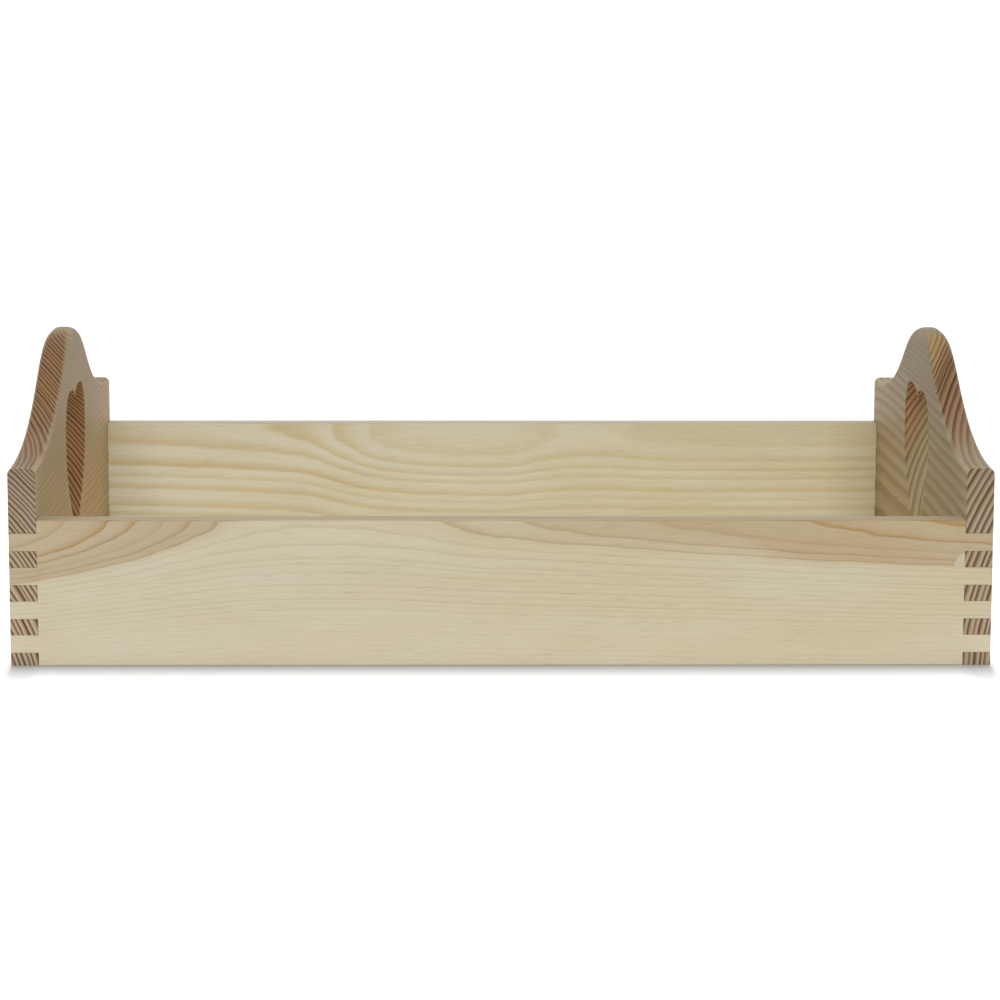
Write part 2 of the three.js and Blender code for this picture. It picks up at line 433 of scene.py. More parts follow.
# %% [markdown]
# Welding joins the points that patches share. The board is then closed, so Blender can turn all its faces
# outwards. Glued-up corners are sanded together, so only the tray's outer corners and lower edges are
# eased: these edges get a bevel weight, and the joints between them stay tight. Weighted normals keep the
# flat faces flat beside the curves.


# %% Weld, ease and name a board
weld_distance = 0.002 * mm
crease_angle = math.radians(38)


def board(node, patches, place):
    """Welds patches into the board that stands for a node of the frame. place turns rows of (depth,
    along, height) into rows of (x, y, z)."""
    starts = np.cumsum([0] + [len(points) for points, faces in patches])
    points = place(np.vstack([points for points, faces in patches]))
    faces = [[start + corner for corner in face]
             for start, (_, faces) in zip(starts, patches) for face in faces]
    name = node.replace("board", "pine_board")
    mesh = bpy.data.meshes.new(name)
    mesh.from_pydata(points.tolist(), [], faces)
    shell = bmesh.new()
    shell.from_mesh(mesh)
    bmesh.ops.remove_doubles(shell, verts=shell.verts, dist=weld_distance)
    bmesh.ops.recalc_face_normals(shell, faces=shell.faces)
    open_edges = sum(not edge.is_manifold for edge in shell.edges)
    shell.to_mesh(mesh)
    shell.free()
    mesh.shade_smooth()
    mesh.set_sharp_from_angle(angle=crease_angle)
    ease_outer_edges(mesh)
    piece = bpy.data.objects.new(name, mesh)
    bpy.context.scene.collection.objects.link(piece)
    easing = piece.modifiers.new("eased corners", "BEVEL")
    easing.width = corner_easing
    easing.segments = easing_steps
    easing.limit_method = "WEIGHT"
    piece.modifiers.new("flat faces stay flat", "WEIGHTED_NORMAL").keep_sharp = True
    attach(piece, "root")
    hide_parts(node)
    print(f"{name}: {len(mesh.vertices)} points, {open_edges} open edges")
    return piece


def ease_outer_edges(mesh):
    """Marks the edges that lie on two of the tray's outer sides at once, or on one of them and the
    underside."""
    points = np.empty(3 * len(mesh.vertices))
    mesh.vertices.foreach_get("co", points)
    ends = np.empty(2 * len(mesh.edges), int)
    mesh.edges.foreach_get("vertices", ends)
    reach = abs(points.reshape(-1, 3)[ends.reshape(-1, 2)])
    outer = np.isclose(reach, (half_length, half_depth, 0), atol=weld_distance).all(axis=1)
    eased = outer.sum(axis=1) >= 2
    weight = mesh.attributes.new("bevel_weight_edge", "FLOAT", "EDGE")
    weight.data.foreach_set("value", eased.astype(np.float32))
    sharp = np.empty(len(mesh.edges), bool)
    mesh.attributes["sharp_edge"].data.foreach_get("value", sharp)
    mesh.attributes["sharp_edge"].data.foreach_set("value", sharp & ~eased)


# %% Four boards
def long_place(side):
    """side is -1 for the front board and 1 for the rear one: depth runs along Y, towards the middle."""
    centre = side * (half_depth - half_thickness)
    return lambda rows: np.column_stack([rows[:, 1], centre - side * rows[:, 0], rows[:, 2]])


def handle_place(side):
    """side is -1 for the left handle board and 1 for the right one: depth runs along X, towards the
    middle."""
    centre = side * (half_length - half_thickness)
    return lambda rows: np.column_stack([centre - side * rows[:, 0], rows[:, 1], rows[:, 2]])


front_board = board("front_board", long_patches(), long_place(-1))
rear_board = board("rear_board", long_patches(), long_place(1))
left_board = board("left_handle_board", handle_patches(), handle_place(-1))
right_board = board("right_handle_board", handle_patches(), handle_place(1))

# %% [markdown]
# ## Wood that is solid all through
#
# Planks are often faked with a picture of grain wrapped round a box, and the grain then never meets at
# the edges. Here the wood is worked out in space instead. A board is sawn out of growth rings that stand
# round the tree's pith, the soft thread in its middle. So a board only needs to know where the pith ran,
# and the same rings show as lines on a face, as curves on an end, and as stripes across the rounded edge
# and the wall of the heart.


# %% Colours and nodes
def linear(code):
    """An sRGB hex colour as linear red, green and blue with full alpha. Below 0.04045 a channel is
    divided by 12.92, and above it follows the power curve of the standard."""
    channels = np.array([int(code[start:start + 2], 16) for start in (1, 3, 5)]) / 255
    straight = np.where(channels <= 0.04045, channels / 12.92, ((channels + 0.055) / 1.055) ** 2.4)
    return (*straight, 1)


def add(tree, kind, *feeds, named=None, **settings):
    """Adds one node. settings are the node's own properties. feeds go in order to the inputs that are in
    use, and named ones by name. Each is a value, an output to link, or a node, which stands for its first
    output in use."""
    made = tree.nodes.new("ShaderNode" + kind)
    for key, value in settings.items():
        setattr(made, key, value)
    in_use = [socket for socket in made.inputs if socket.enabled]
    by_name = [(made.inputs[key], value) for key, value in (named or {}).items()]
    for socket, value in [*zip(in_use, feeds), *by_name]:
        if isinstance(value, bpy.types.Node):
            value = next(output for output in value.outputs if output.enabled)
        if isinstance(value, bpy.types.NodeSocket):
            tree.links.new(value, socket)
        else:
            socket.default_value = value
    return made


def blank_material(name):
    """A new material, and its node tree, emptied."""
    material = bpy.data.materials.new(name)
    material.use_nodes = True
    material.node_tree.nodes.clear()
    return material, material.node_tree


def place_in_mm(tree):
    """The place in millimetres. Every piece sits at the origin, so its own place is the tray's."""
    metres = add(tree, "TexCoord").outputs["Object"]
    return add(tree, "VectorMath", metres, [1 / mm] * 3, operation="MULTIPLY")


print("a mid grey of #808080 is", round(linear("#808080")[0], 3), "in linear light")

# %% [markdown]
# A curve in Blender runs from 0 to 1, while a joiner thinks in millimetres and years. So one helper takes
# a curve in real units, squeezes it into Blender's curve and stretches the answer back. In the same way,
# a noise in Blender has lumps of size 1, so another helper divides the place by the size of the lumps.
# Where numbers follow a value in a MapRange, they are the span that it comes from and the one it goes to.

# %% Curves and noise in real units
def curve_through(tree, value, rows, handle="VECTOR"):
    """Bends a value through rows of (value, result). Both are scaled to 0..1 over their own span, looked
    up, and scaled back. Results that are all the same have no span, and stay what they are. VECTOR
    handles join the rows by straight lines, AUTO ones by a smooth curve."""
    rows = np.array(rows, float)
    low, high = rows.min(axis=0), rows.max(axis=0)
    span = np.where(high > low, high - low, 1)
    share = add(tree, "MapRange", value, low[0], high[0], 0, 1)
    bend = add(tree, "FloatCurve", 1, share)
    points = bend.mapping.curves[0].points
    scaled = (rows - low) / span
    points[0].location, points[1].location = scaled[0], scaled[-1]
    for row in scaled[1:-1]:
        points.new(*row)
    for point in points:
        point.handle_type = handle
    bend.mapping.update()
    return add(tree, "MapRange", bend, 0, 1, low[1], high[1])


def yearly(anchors, unevenness, seed):
    """Rows of (radius, years): the anchors, and each whole year that is more than 0.7 of a year from all
    of them. Such a year's radius is read off the straight line between the anchors, and moved by a random
    share of about unevenness of its width."""
    anchors = np.array(anchors, float)
    radius, years = anchors.T
    whole = np.arange(math.ceil(years[0]), math.floor(years[-1]) + 1)
    edge = np.interp(whole, years, radius)
    moved = edge + np.random.default_rng(seed).normal(0, unevenness, len(edge)) * np.gradient(edge)
    apart = abs(whole[:, None] - years).min(axis=1) > 0.7
    rows = np.vstack([anchors, np.column_stack([moved, whole])[apart]])
    return rows[rows[:, 1].argsort()]


def lumps(tree, place, size, detail, roughness):
    """A noise from 0 to 1. Size is that of its lumps in millimetres along, across and up."""
    shrunk = add(tree, "VectorMath", place, size, operation="DIVIDE")
    return add(tree, "TexNoise", shrunk, 1, detail, roughness)


print("four even years to 20 mm:", yearly([(0, 0), (20, 4)], 0, 0).tolist())


# %% [markdown]
# ### Growth rings
#
# Each board is described the way a sawyer would see it: which way the grain runs, where the pith of the
# tree passed and how wide its years were. The distance from the pith, made a little uneven, gives the
# year. Its fraction is the place within the year: pale spring wood darkens slowly towards autumn, and
# then stops abruptly at the next spring.


# %% Years of growth
# The unevenness of the rings: millimetres along, across and up the board, detail and roughness
slow_lumps = (90, 35, 35), 2, 0.45
quick_lumps = (12, 4, 4), 1, 0.5


def growth(tree, wood):
    """The place in the board's own directions in millimetres (along, across, up), the distance from the
    pith, and the darkness of the ring from 0 to 1. The distance is the length of (across less the pith's
    place there, height less the pith's height), plus a slow drift and a quick shiver. The darkness is the
    season's, times a random strength for each year, times the boldness."""
    x, y, z = add(tree, "SeparateXYZ", place_in_mm(tree)).outputs
    along, across = (x, y) if wood["grain"] == "X" else (y, x)
    turned = add(tree, "CombineXYZ", along, across, z)
    pith = curve_through(tree, along, wood["pith_path"], handle="AUTO")
    pith_height = curve_through(tree, along, wood["pith_height"], handle="AUTO")
    sideways = add(tree, "Math", across, pith, operation="SUBTRACT")
    upwards = add(tree, "Math", z, pith_height, operation="SUBTRACT")
    from_pith = add(tree, "CombineXYZ", sideways, upwards)
    reach = add(tree, "VectorMath", from_pith, operation="LENGTH")
    slow = lumps(tree, turned, *slow_lumps)
    quick = lumps(tree, turned, *quick_lumps)
    drift = add(tree, "MapRange", slow, 0, 1, -wood["drift"], wood["drift"])
    shiver = add(tree, "MapRange", quick, 0, 1, -wood["shiver"], wood["shiver"])
    radius = add(tree, "Math", add(tree, "Math", reach, drift), shiver)
    years = curve_through(tree, radius, yearly(wood["years"], wood["unevenness"], wood["seed"]))
    season = add(tree, "Math", years, operation="FRACT")
    year = add(tree, "Math", years, operation="FLOOR")
    chance = add(tree, "TexWhiteNoise", year, noise_dimensions="1D")
    strength = add(tree, "MapRange", chance, 0, 1, wood["weakest"], 1)
    by_place = curve_through(tree, along, wood["boldness"], handle="AUTO")
    by_radius = curve_through(tree, radius, wood["boldness_by_radius"])
    boldness = add(tree, "Math", by_place, by_radius, operation="MULTIPLY")
    bold = add(tree, "Math", strength, boldness, operation="MULTIPLY")
    ring = add(tree, "Math", curve_through(tree, season, wood["season"]), bold, operation="MULTIPLY")
    return turned, radius, ring


# %% [markdown]
# ### Faces, ends and routed edges
#
# Where a face cuts across the fibres they are open ends, like a bundle of straws: they take in the light
# and look darker. The router's cutter also burnishes them, so the ogee and the hand hole are browner than
# a sawn end. How much end grain shows follows from how squarely the surface faces along the grain.


# %% Colours of a board
# How squarely a surface faces along the grain where end grain begins to show, and where it is whole
end_grain_span = (0.15, 0.85)


def wood_colour(tree, wood, turned, radius, ring):
    """Mixes pairs of spring and autumn colours: sapwood to heartwood by the radius, and the face to end
    grain by how squarely the surface faces along the grain. Returns the colour, how squarely it faces,
    and the surface's direction."""
    def pair(part):
        return add(tree, "Mix", ring, linear(wood[part][0]), linear(wood[part][1]), data_type="RGBA")

    axis = (1, 0, 0) if wood["grain"] == "X" else (0, 1, 0)
    normal = add(tree, "NewGeometry").outputs["Normal"]
    along_grain = add(tree, "VectorMath", normal, axis, operation="DOT_PRODUCT")
    facing = add(tree, "Math", along_grain, operation="ABSOLUTE")
    face = pair("sap")
    if "core" in wood:
        along = add(tree, "SeparateXYZ", turned).outputs[0]
        core_edge = curve_through(tree, along, wood["core_edge"], handle="AUTO")
        depth_inside = add(tree, "Math", core_edge, radius, operation="SUBTRACT")
        fade = curve_through(tree, along, wood["core_fade"])
        faded = add(tree, "Math", depth_inside, fade, operation="DIVIDE")
        inside = add(tree, "MapRange", faded, -1, 1, 0, 1)
        face = add(tree, "Mix", inside, face, pair("core"), data_type="RGBA")
    end_share = add(tree, "MapRange", facing, *end_grain_span, 0, 1)
    return add(tree, "Mix", end_share, face, pair("end"), data_type="RGBA"), facing, normal


def ramp(tree, value, rows):
    """A colour that changes evenly with a value, through rows of (value, colour)."""
    low, high = rows[0][0], rows[-1][0]
    blend = add(tree, "ValToRGB", add(tree, "MapRange", value, low, high, 0, 1))
    stops = blend.color_ramp.elements
    for place, colour in rows[1:-1]:
        stops.new((place - low) / (high - low)).color = linear(colour)
    stops[0].color = linear(rows[0][1])
    stops[-1].color = linear(rows[-1][1])
    return blend


# %% Where the router and the filler are
# Each pair is where the browned surface begins and where it is whole. A surface is off the board's two
# faces by how little it faces sideways, off the sawn ends by its millimetres from the middle, and a slope
# by how squarely it faces along the grain. Below a height, in millimetres, the level shoulders are
# browned as well: partly the router's burnish, and partly painted shade on these upward-facing tops.
off_face_span = (0.75, 0.3)
off_end_span = (148.8, 147.5)
slope_span = (0.06, 0.28)
shoulder_span = (92, 86)

# The filler's soft edge, in shares of its reach
filler_edge = (1.03, 0.93)


def routed_colour(tree, wood, turned, radius, ring, colour, facing, normal):
    """Browns the surfaces that a router has cut: neither the board's two faces nor its sawn ends. Spring
    and autumn wood have a ramp of colours each, by the distance from the pith. The brown's share is (off
    the faces) times (off the ends) times the larger of the slope's and the shoulder's. On the level
    shoulders that brown is partly painted shade."""
    reaches, early, late = zip(*wood["routed"])
    spring = ramp(tree, radius, list(zip(reaches, early)))
    autumn = ramp(tree, radius, list(zip(reaches, late)))
    brown = add(tree, "Mix", ring, spring, autumn, data_type="RGBA")
    along, _, up = add(tree, "SeparateXYZ", turned).outputs
    sideways = add(tree, "Math", add(tree, "SeparateXYZ", normal).outputs[0], operation="ABSOLUTE")
    from_middle = add(tree, "Math", along, operation="ABSOLUTE")
    off_face = add(tree, "MapRange", sideways, *off_face_span, 0, 1)
    off_end = add(tree, "MapRange", from_middle, *off_end_span, 0, 1)
    # On the level shoulders the brown is partly the router's burnish, partly painted shade
    shoulder = add(tree, "MapRange", up, *shoulder_span, 0, wood["routed_shoulder"])
    slope = add(tree, "MapRange", facing, *slope_span, 0, 1)
    share = add(tree, "Math", slope, shoulder, operation="MAXIMUM")
    off_both = add(tree, "Math", off_face, off_end, operation="MULTIPLY")
    routed = add(tree, "Math", off_both, share, operation="MULTIPLY")
    return add(tree, "Mix", routed, colour, brown, data_type="RGBA")


def filled_colour(tree, wood, turned, colour):
    """Covers a chipped corner with pale filler: inside the inner upper quarter of an ellipsoid, where the
    length of (steps from its middle, divided by its reach in each direction) is below one."""
    filler = wood["filler"]
    steps = add(tree, "VectorMath", turned, filler["middle"], operation="SUBTRACT")
    shares = add(tree, "VectorMath", steps, filler["reach"], operation="DIVIDE")
    length = add(tree, "VectorMath", shares, operation="LENGTH")
    ellipsoid = add(tree, "MapRange", length, *filler_edge, 0, 1)
    along, _, up = add(tree, "SeparateXYZ", steps).outputs
    inner = add(tree, "Math", along, 0, operation="LESS_THAN")
    upper = add(tree, "Math", up, 0, operation="GREATER_THAN")
    quarter = add(tree, "Math", inner, upper, operation="MULTIPLY")
    inside = add(tree, "Math", ellipsoid, quarter, operation="MULTIPLY")
    return add(tree, "Mix", inside, colour, linear(filler["colour"]), data_type="RGBA")


# %% [markdown]
# ### Fibres
#
# Pine fibres are some 3 mm long and 0.03 mm thick, far too fine to show. So they are drawn as coarse as
# they need to be, as streaks 14 mm long and 0.6 mm thick, which is twenty times their thickness. Resin
# ducts are darker flecks about a millimetre thick. Slow patches a few centimetres long make one part of a
# board a little warmer or paler than another. A sanded face has a dull sheen, and a sawn end, rough with
# open fibres, has less.


# %% Sizes and shades of the fibres
# Millimetres along, across and up the board, detail and roughness
fibre_lumps = (14, 0.6, 0.6), 3, 0.6
duct_lumps = (8, 0.8, 0.8), 0, 0.5
patch_lumps = (70, 16, 16), 2, 0.5

# What part of each noise is used, and the shades or the warmth that it goes to
fibre_span, fibre_shades = (0.2, 0.8), (0.93, 1.07)
duct_span, duct_shades = (0.72, 0.82), (1, 0.92)
patch_span, patch_warmth = (0.3, 0.7), (-0.3, 0.3)
pale_tint, warm_tint = "#fffefc", "#f7f1df"

# How the surface is left by sanding
relief_depth = 0.03 * mm
face_roughness, end_roughness = 0.56, 0.7
wood_ior = 1.5
pine_specular = 0.2
print("streaks", fibre_lumps[0][0], "mm long, relief", round(relief_depth / mm, 3), "mm deep")


# %% Wood material
def pine(name, wood):
    """The material of one board: growth rings, faces and ends, fibres, and the surface that sanding
    leaves."""
    material, tree = blank_material(name)
    turned, radius, ring = growth(tree, wood)
    colour, facing, normal = wood_colour(tree, wood, turned, radius, ring)
    if "routed" in wood:
        colour = routed_colour(tree, wood, turned, radius, ring, colour, facing, normal)
    if "filler" in wood:
        colour = filled_colour(tree, wood, turned, colour)
    along, _, up = add(tree, "SeparateXYZ", turned).outputs

    patch = add(tree, "MapRange", lumps(tree, turned, *patch_lumps), *patch_span, *patch_warmth)
    by_place = curve_through(tree, along, wood["warmth"], handle="AUTO")
    warmth = add(tree, "Math", patch, by_place, use_clamp=True)
    tint = add(tree, "Mix", warmth, linear(pale_tint), linear(warm_tint), data_type="RGBA")

    fibre = lumps(tree, turned, *fibre_lumps)
    streaks = add(tree, "MapRange", fibre, *fibre_span, *fibre_shades)
    duct = add(tree, "MapRange", lumps(tree, turned, *duct_lumps), *duct_span, *duct_shades)
    # Scaled with height and along the board: partly the wood's own colour, partly painted light and shade
    wood_tone_and_painted_light_up = curve_through(tree, up, wood["wood_tone_and_painted_light"], handle="AUTO")
    wood_tone_and_painted_light_along = curve_through(tree, along, wood["wood_tone_and_painted_light_along"], handle="AUTO")
    shade = streaks
    for part in (duct, wood_tone_and_painted_light_up, wood_tone_and_painted_light_along):
        shade = add(tree, "Math", shade, part, operation="MULTIPLY")

    tinted = add(tree, "Mix", 1, colour, tint, data_type="RGBA", blend_type="MULTIPLY")
    shaded = add(tree, "VectorMath", tinted, shade, operation="SCALE")
    half_fibre = add(tree, "Math", fibre, 0.5, operation="MULTIPLY")
    relief = add(tree, "Math", ring, 0.5, half_fibre, operation="MULTIPLY_ADD")
    bump = add(tree, "Bump", named={"Height": relief, "Distance": relief_depth, "Strength": 1})
    roughness = add(tree, "MapRange", facing, 0, 1, face_roughness, end_roughness)
    shader = add(tree, "BsdfPrincipled", named={
        "Base Color": shaded, "Roughness": roughness, "Normal": bump, "IOR": wood_ior,
        "Specular IOR Level": pine_specular})
    add(tree, "OutputMaterial", shader)
    print(f"{name}: {len(tree.nodes)} nodes")
    return material


# %% [markdown]
# ### Four boards from four trees
#
# The front board is pale sapwood with a streak of pinkish heartwood along its top edge. The rear board is
# yellower, with broad golden rings. The handle boards are slower grown, brown and striped. All four are
# sanded bare pine. Distances are in millimetres, and a list of rows says how much of something there is
# where. The boards have the same kinds of value:
#
# - grain: the way the fibres run. pith_path, pith_height: where the pith passed.
# - years: rows of (distance from the pith, years). unevenness, drift, shiver: how far the rings wander.
# - season: the darkness through one year. weakest, boldness, boldness_by_radius: how strongly years show.
# - sap, core, end: spring and autumn colours of sapwood, heartwood and end grain.
# - core_edge: the distance at which heartwood ends. core_fade: over how much of it.
# - routed: rows of (distance, spring colour, autumn colour) where the router cut.
# - routed_shoulder: how much of that the level shoulders get, partly the router's
#   burnish and partly painted shade on their upward-facing tops.
# - wood_tone_and_painted_light, wood_tone_and_painted_light_along, warmth: how the colour changes with
#   height, and along the board. Part of that is the wood, and part is painted light and shade, after the
#   uneven light that the real tray was seen in: the handle boards are lighter towards their feet and
#   darker at the crown, the front board lighter at its foot, and the rear board darker on its top edge.
# - filler: the middle, the reach and the colour of a filled chip.

# %% Seasons
# Rows of (share of the year, darkness)
thin_line = [(0, 0), (0.5, 0.06), (0.78, 0.35), (0.9, 0.95), (0.97, 1), (1, 0.1)]
soft_band = [(0, 0), (0.4, 0.12), (0.65, 0.65), (0.82, 1), (0.93, 0.7), (1, 0)]
wide_band = [(0, 0.1), (0.3, 0.15), (0.55, 0.55), (0.75, 0.95), (0.88, 0.9), (1, 0.1)]
broad_line = [(0, 0), (0.35, 0.1), (0.55, 0.6), (0.7, 1), (0.95, 1), (1, 0)]
print("a thin line is darkest at", max(thin_line, key=lambda row: row[1])[0], "of the year")


# %% Values of the long boards
def pith_path(surface, rows):
    """Rows of (along, depth behind a surface) as rows of (along, place across the tray)."""
    return [(along, surface + depth) for along, depth in rows]


front_wood = {
    "grain": "X",
    "pith_path": pith_path(-150, [
        (-200, 3), (-175, 14.5), (-150, 21.5), (-125, 26.5), (-100, 29), (-60, 29.5), (0, 27), (50, 25),
        (100, 23), (150, 20.5), (200, 18.5)]),
    "pith_height": [(-200, 62), (200, 62)],
    "years": [(0, 0), (8, 0.95), (13.9, 1.95), (19.4, 2.95), (21.9, 3.95), (24.6, 4.95), (26.6, 5.95),
              (28.2, 6.95), (30.1, 7.95), (32.1, 8.95), (39.6, 12.95), (75, 31.95)],
    "unevenness": 0.22, "seed": 11, "drift": 0.7, "shiver": 0.3,
    "season": thin_line, "weakest": 0.35, "boldness": [(-200, 1), (200, 0.95)],
    "boldness_by_radius": [(0, 1), (28.5, 1), (30, 0.65), (46, 0.65), (56, 0.4), (75, 0.3)],
    "sap": ("#b9b19c", "#a99d83"), "core": ("#a99a80", "#967a50"), "end": ("#a8977a", "#735a3c"),
    "core_edge": [(-200, 28.5), (-60, 28.5), (0, 26.9), (95, 26.9), (122, 28.5), (200, 28.5)],
    "core_fade": [(-200, 1.2), (-60, 1), (0, 3), (80, 3), (140, 1), (200, 0.8)],
    # Partly the wood, partly painted light and shade: lighter at the foot and on the top edge, darker
    # between
    "wood_tone_and_painted_light": [(0, 1.22), (3, 1.12), (8, 1.05), (16, 0.98), (30, 0.93), (42, 0.905), (58.6, 0.92),
             (60, 1.02)],
    "wood_tone_and_painted_light_along": [(-200, 1), (200, 1)],
    "warmth": [(-200, 0.3), (0, 0.4), (200, 0.6)],
    "filler": {"middle": (189.2, -150, 40.4), "reach": (4.9, 1, 6.3), "colour": "#b2a995"},
}
rear_wood = {
    "grain": "X",
    "pith_path": pith_path(138.8, [
        (-200, 31.2), (-150, 30.5), (-100, 29), (-75, 26), (-50, 22), (-25, 20.5), (0, 20), (25, 22.5),
        (50, 23.7), (75, 22.8), (100, 22.3), (200, 22.3)]),
    "pith_height": [(-200, 60), (-100, 59), (-50, 55.5), (200, 56)],
    "years": [(0, 0), (18, 0.82), (22.9, 1.82), (26.3, 2.82), (29.2, 3.82), (31.9, 4.82), (36.8, 5.82),
              (40.2, 6.82), (44, 7.82), (51, 8.82), (72, 14.82)],
    "unevenness": 0.12, "seed": 5, "drift": 0.5, "shiver": 0.25,
    "season": wide_band, "weakest": 0.75,
    "boldness": [(-200, 0.85), (-90, 0.75), (-20, 0.55), (60, 0.5), (200, 0.65)],
    "boldness_by_radius": [(0, 0.2), (20, 0.4), (24, 0.7), (31, 0.9), (37.4, 1), (38, 0.5), (40.8, 0.5),
                           (41.5, 0.8), (72, 0.6)],
    "sap": ("#d2cdba", "#bca56c"), "end": ("#a8977a", "#735a3c"),
    # Partly the wood, partly painted shade: the top edge is painted darker
    "wood_tone_and_painted_light": [(0, 0.98), (56, 0.95), (59, 0.94), (60, 0.77)],
    "wood_tone_and_painted_light_along": [(-200, 1), (200, 1)],
    "warmth": [(-200, 0), (-60, 0.3), (80, 0.6), (200, 1)],
}
print("years across the long boards:", front_wood["years"][-1][1], "and", rear_wood["years"][-1][1])

# %% Values of the handle boards
left_wood = {
    "grain": "Y",
    "pith_path": [(-150, -298), (0, -297), (150, -298.5)],
    "pith_height": [(-150, -29), (150, -29)],
    "years": [(100, 0), (125, 12.5), (150, 27.5), (160, 34.1), (190, 60.2)],
    "unevenness": 0.15, "seed": 3, "drift": 1.4, "shiver": 0.2,
    "season": broad_line, "weakest": 0.75, "boldness": [(-150, 1), (150, 0.9)],
    "boldness_by_radius": [(100, 1), (190, 0.95)],
    "sap": ("#a28d6d", "#927d5a"), "end": ("#8d7e6f", "#422e1d"),
    "routed": [(112, "#7d5f40", "#3f2613"), (122, "#876643", "#402511"), (135, "#906d49", "#40240f"),
               (160, "#9a754f", "#3d220e"), (190, "#a17a53", "#3a210e")],
    # The shoulders' brown: partly the router's burnish, partly painted shade on their upward-facing tops
    "routed_shoulder": 0.8,
    # Partly the wood, partly painted light and shade: lighter towards the foot, darker towards the crown
    "wood_tone_and_painted_light": [(0, 1.55), (20, 1.5), (40, 1.38), (58, 1.22), (80, 1.02), (110, 0.9), (123, 0.86)],
    "wood_tone_and_painted_light_along": [(-150, 1), (0, 1), (60, 1.01), (110, 1.06), (150, 1.08)],
    "warmth": [(-150, 0.6), (150, 0.6)],
}
right_wood = {
    "grain": "Y",
    "pith_path": [(-150, 341), (0, 340), (150, 342)],
    "pith_height": [(-150, -10), (150, -10)],
    "years": [(138, -1), (155, 7), (170, 12.6), (178.4, 15.83), (181, 16.83), (183.1, 17.83),
              (185.9, 18.83), (187.2, 19.83), (188.1, 20.83), (188.8, 21.83), (190.2, 22.83),
              (191.4, 23.83), (193.2, 24.83), (195, 25.83), (196.8, 26.83), (206, 31.9)],
    "unevenness": 0.12, "seed": 8, "drift": 0.7, "shiver": 0.2,
    "season": broad_line, "weakest": 0.7, "boldness": [(-150, 1), (150, 1)],
    "boldness_by_radius": [(138, 1), (191.5, 1), (194, 0.65), (197, 0.4), (206, 0.3)],
    "sap": ("#a49375", "#8e795a"), "end": ("#90816d", "#4b3423"),
    "routed": [(150, "#a29878", "#8c7d5f"), (163, "#998d6c", "#786242"), (170, "#a08362", "#795333"),
               (177, "#a38160", "#6b4728"), (183, "#a37e58", "#4a2e17"), (187, "#96724b", "#452b15"),
               (190.5, "#b08b5e", "#4a2e15"), (193, "#c2a168", "#5f4020"), (200, "#c2a973", "#7d6236")],
    # The shoulders' brown: partly the router's burnish, partly painted shade on their upward-facing tops
    "routed_shoulder": 0.4,
    # Partly the wood, partly painted light and shade: lighter towards the foot, darker towards the crown
    "wood_tone_and_painted_light": [(0, 1.38), (40, 1.3), (60, 1.17), (80, 1.02), (105, 0.82), (123, 0.76)],
    "wood_tone_and_painted_light_along": [(-150, 0.92), (-100, 0.88), (0, 0.94), (100, 1), (150, 1)],
    "warmth": [(-150, 0.5), (150, 0.6)],
}
print("years across the handle boards:", left_wood["years"][-1][1], "and", right_wood["years"][-1][1])

# %% Cover the four boards
for piece, name, wood in [
    (front_board, "sanded_pine_sapwood", front_wood),
    (rear_board, "sanded_yellow_pine", rear_wood),
    (left_board, "sanded_brown_pine_left", left_wood),
    (right_board, "sanded_brown_pine_right", right_wood),
]:
    piece.data.materials.append(pine(name, wood))

# %% [markdown]
# ## The plywood bottom
#
# Plywood's face is peeled off a log like paper off a roll, so the knife runs nearly along one year's ring
# and crosses it in wide, wandering flames. That is again a year count, but of a gently rolling height
# instead of a distance. The panel is sanded pine plywood, paler than the boards and with more sheen.


# %% Plywood material
# Millimetres along, across and up the sheet, detail and roughness
flame_lumps = (260, 48, 48), 2, 0.45

# The years that the whole noise is worth, and the millimetres across the sheet that are worth one more
flame_years = 16
mm_per_year = 55

spring_veneer, autumn_veneer = "#e0d7c0", "#cdb991"
veneer_relief = 0.02 * mm
veneer_roughness = 0.58
veneer_specular = 0.35


def plywood(name):
    """Years are a slow noise, drawn out along the grain, plus a slight climb across the sheet."""
    material, tree = blank_material(name)
    place = place_in_mm(tree)
    across = add(tree, "SeparateXYZ", place).outputs["Y"]
    climb = add(tree, "Math", across, mm_per_year, operation="DIVIDE")
    roll = lumps(tree, place, *flame_lumps)
    years = add(tree, "Math", roll, flame_years, climb, operation="MULTIPLY_ADD")
    season = add(tree, "Math", years, operation="FRACT")
    ring = curve_through(tree, season, soft_band)
    fibre = lumps(tree, place, *fibre_lumps)
    streaks = add(tree, "MapRange", fibre, *fibre_span, *fibre_shades)
    veneer = add(tree, "Mix", ring, linear(spring_veneer), linear(autumn_veneer), data_type="RGBA")
    shaded = add(tree, "VectorMath", veneer, streaks, operation="SCALE")
    bump = add(tree, "Bump", named={"Height": fibre, "Distance": veneer_relief, "Strength": 1})
    shader = add(tree, "BsdfPrincipled", named={
        "Base Color": shaded, "Roughness": veneer_roughness, "Normal": bump, "IOR": wood_ior,
        "Specular IOR Level": veneer_specular})
    add(tree, "OutputMaterial", shader)
    return material


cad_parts["bottom_panel"].material_slots[0].material = plywood("sanded_pine_plywood")
panel_low, panel_high = box_of("bottom_panel")
print("bottom panel", np.round((panel_high - panel_low) / mm, 1), "mm")

# %% [markdown]
# ## Floor and light
#
# The tray stands on a plain floor that is lit until it is white right up to the horizon. A bright room
# lights the tray from all round, and one large soft box behind the camera keeps the front board the
# brightest. The floor has a row of lamps of its own, far behind and above, so that the front board throws
# only a narrow soft shadow before its foot.

# %% Floor
floor_reach = 30
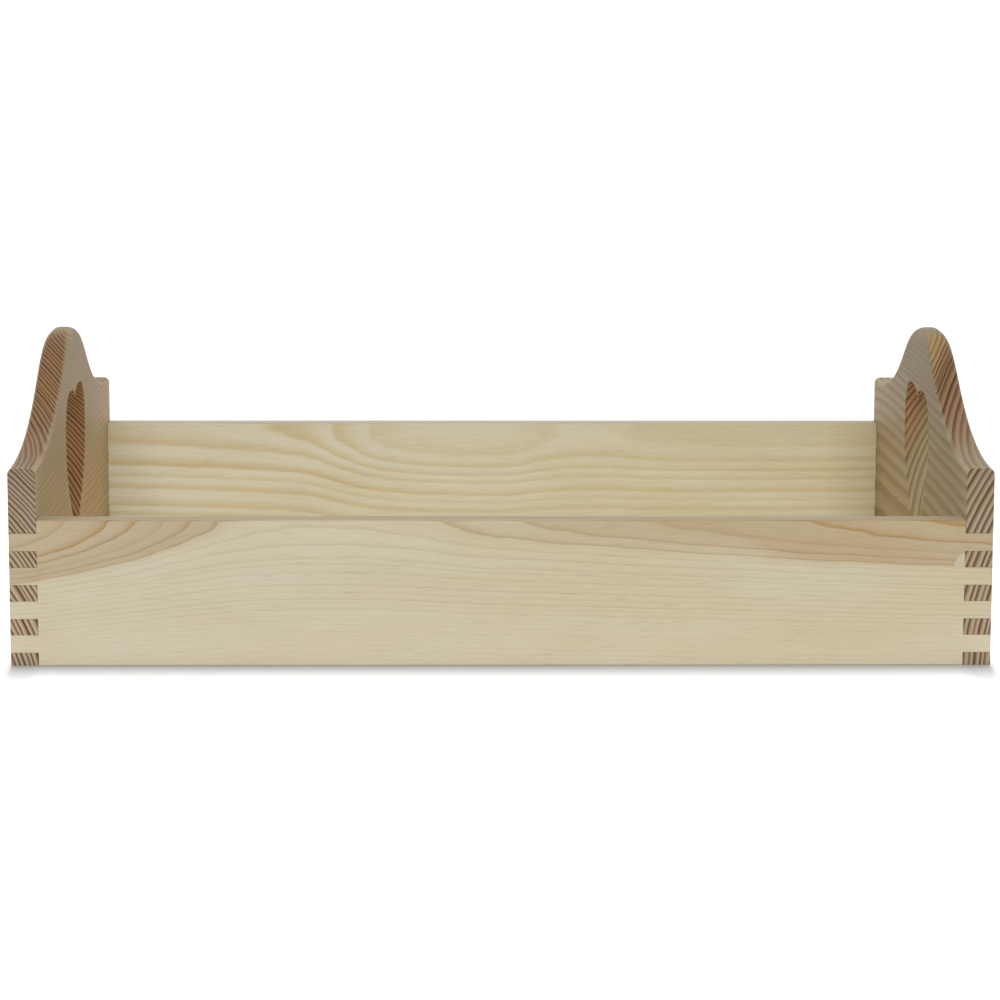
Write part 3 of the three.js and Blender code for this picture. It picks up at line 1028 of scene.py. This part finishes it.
# Matt paper, without the least sheen, so that the lamps leave no bright spot on it
floor_colour = "#b0b0b0"
floor_roughness = 0.9
floor_glow = 0.16
floor_corners = np.array([[-1, -1, 0], [1, -1, 0], [1, 1, 0], [-1, 1, 0]]) * floor_reach
floor_mesh = bpy.data.meshes.new("floor")
floor_mesh.from_pydata(floor_corners.tolist(), [], [[0, 1, 2, 3]])
floor = bpy.data.objects.new("floor", floor_mesh)
bpy.context.scene.collection.objects.link(floor)
white, white_tree = blank_material("pale_studio_floor")
white_shader = add(white_tree, "BsdfPrincipled", named={
    "Base Color": linear(floor_colour), "Roughness": floor_roughness, "Specular IOR Level": 0,
    "Emission Color": linear("#ffffff"), "Emission Strength": floor_glow})
add(white_tree, "OutputMaterial", white_shader)
floor_mesh.materials.append(white)
print("floor", 2 * floor_reach, "m wide")

# %% Room light
# The brightness of the room before the tray, where the camera is, and behind it
light_before, light_behind = 0.05, 1.45
world = bpy.data.worlds.new("studio")
bpy.context.scene.world = world
world.use_nodes = True
sky = world.node_tree
sky.nodes.clear()
rearward = add(sky, "SeparateXYZ", add(sky, "TexCoord").outputs["Generated"]).outputs["Y"]
brightness = add(sky, "MapRange", rearward, -1, 1, light_before, light_behind)
add(sky, "OutputWorld", add(sky, "Background", linear("#ffffff"), brightness))
print("room light from", light_before, "to", light_behind)


# %% Soft box
def soft_box(name, place, aim, size, power):
    """A square lamp of size metres at place, turned so that its back looks away from aim."""
    lamp = bpy.data.lights.new(name, "AREA")
    lamp.shape = "SQUARE"
    lamp.size = size
    lamp.energy = power
    box = bpy.data.objects.new(name, lamp)
    away = np.array(place, float) - np.array(aim, float)
    away /= np.linalg.norm(away)
    side = np.cross((0, 0, 1), away)
    side /= np.linalg.norm(side)
    box.matrix_world = turned_to(side, np.cross(away, side), away, place)
    bpy.context.scene.collection.objects.link(box)
    return box


key = soft_box("key", place=(0, -2.6, 0.95), aim=(0, 0, 0.05), size=1.1, power=52)
lit = bpy.data.collections.new("lit_by_the_key")
for piece in (front_board, rear_board, left_board, right_board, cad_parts["bottom_panel"]):
    lit.objects.link(piece)
key.light_linking.receiver_collection = lit

# %% Floor lamps
floor_only = bpy.data.collections.new("lit_by_the_floor_lamps")
floor_only.objects.link(floor)
lamp_tilts = np.radians([3, 7.5, 12, 16.5, 21])
lamp_width = math.radians(4.5)
floor_light = 5.2
for number, tilt in enumerate(lamp_tilts, start=1):
    sun = bpy.data.lights.new(f"floor_lamp_{number}", "SUN")
    sun.angle = lamp_width
    sun.energy = floor_light / len(lamp_tilts)
    lamp = bpy.data.objects.new(sun.name, sun)
    lamp.rotation_euler = (-tilt, 0, 0)
    lamp.light_linking.receiver_collection = floor_only
    bpy.context.scene.collection.objects.link(lamp)
print(f"{len(lamp_tilts)} floor lamps, tilted up to {math.degrees(lamp_tilts[-1]):.0f} degrees")

# %% [markdown]
# Blender's usual view softens bright colours, as film does. These colours were matched without it, so the
# view that leaves them alone is chosen.

# %% Colours as they are
bpy.context.scene.view_settings.view_transform = "Standard"
print("view", bpy.context.scene.view_settings.view_transform)
